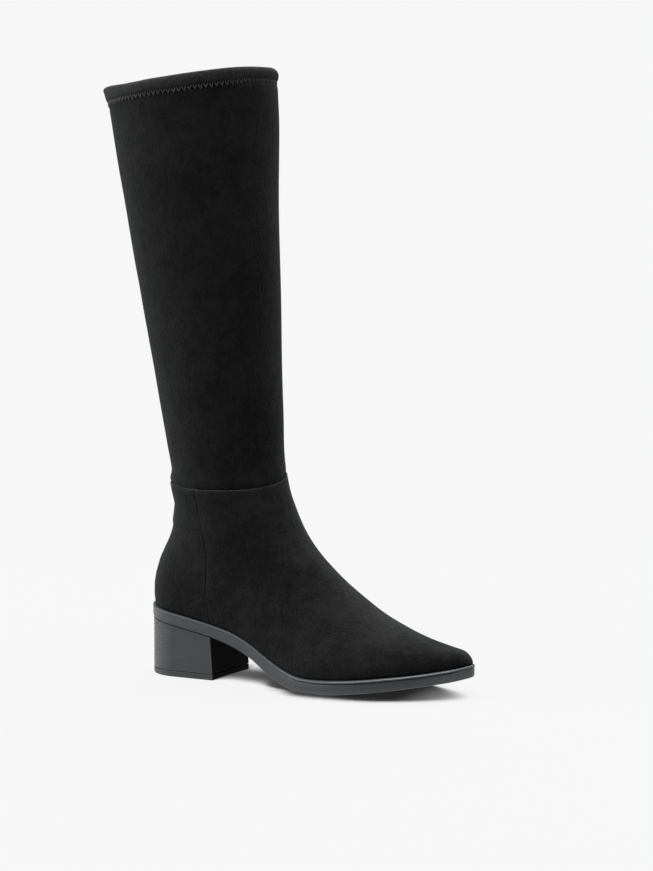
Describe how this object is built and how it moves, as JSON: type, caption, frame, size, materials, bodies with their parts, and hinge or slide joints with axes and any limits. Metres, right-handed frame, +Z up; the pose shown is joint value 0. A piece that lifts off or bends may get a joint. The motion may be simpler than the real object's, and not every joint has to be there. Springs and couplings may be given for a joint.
{
  "type": "knee-high block heel boot",
  "caption": "Knee-high women's boot for the right foot: pointed toe, low block heel, moulded rubber sole, soft stretch shaft and an inner side zip with a swinging pull tab.",
  "frame": {"origin": "middle of the heel's tread, on the floor", "axes": "+X towards the toe, +Y towards the inner side of the foot, +Z up the shaft"},
  "size_m": [0.2844, 0.1222, 0.4454],
  "materials": {
    "suede": "black suede, matt",
    "stretch_suede": "black stretch suede, matt",
    "sole_rubber": "dark grey moulded rubber, satin",
    "tread_rubber": "black hard rubber, matt",
    "lining": "black brushed lining",
    "zip_cloth": "black woven zip tape",
    "nylon_coil": "black nylon coil, satin",
    "lacquered_metal": "black lacquered zinc"
  },
  "bodies": {
    "boot": {"outsole": "sole_rubber", "heel_block": "sole_rubber", "heel_top_piece": "tread_rubber", "insole": "lining", "upper": "suede", "shaft": "stretch_suede", "zip_tape": "zip_cloth", "zip_chain": "nylon_coil", "zip_slider": "lacquered_metal"},
    "pull_tab": {"zip_pull": "lacquered_metal"}
  },
  "joints": [
    {"name": "pull_tab_hinge", "type": "hinge", "parent": "boot", "child": "pull_tab", "pos_m": [0.02784, 0.04268, 0.23642], "axis": [0.9921, -0.0918, 0.0854], "range_deg": [0, 165]}
  ]
}
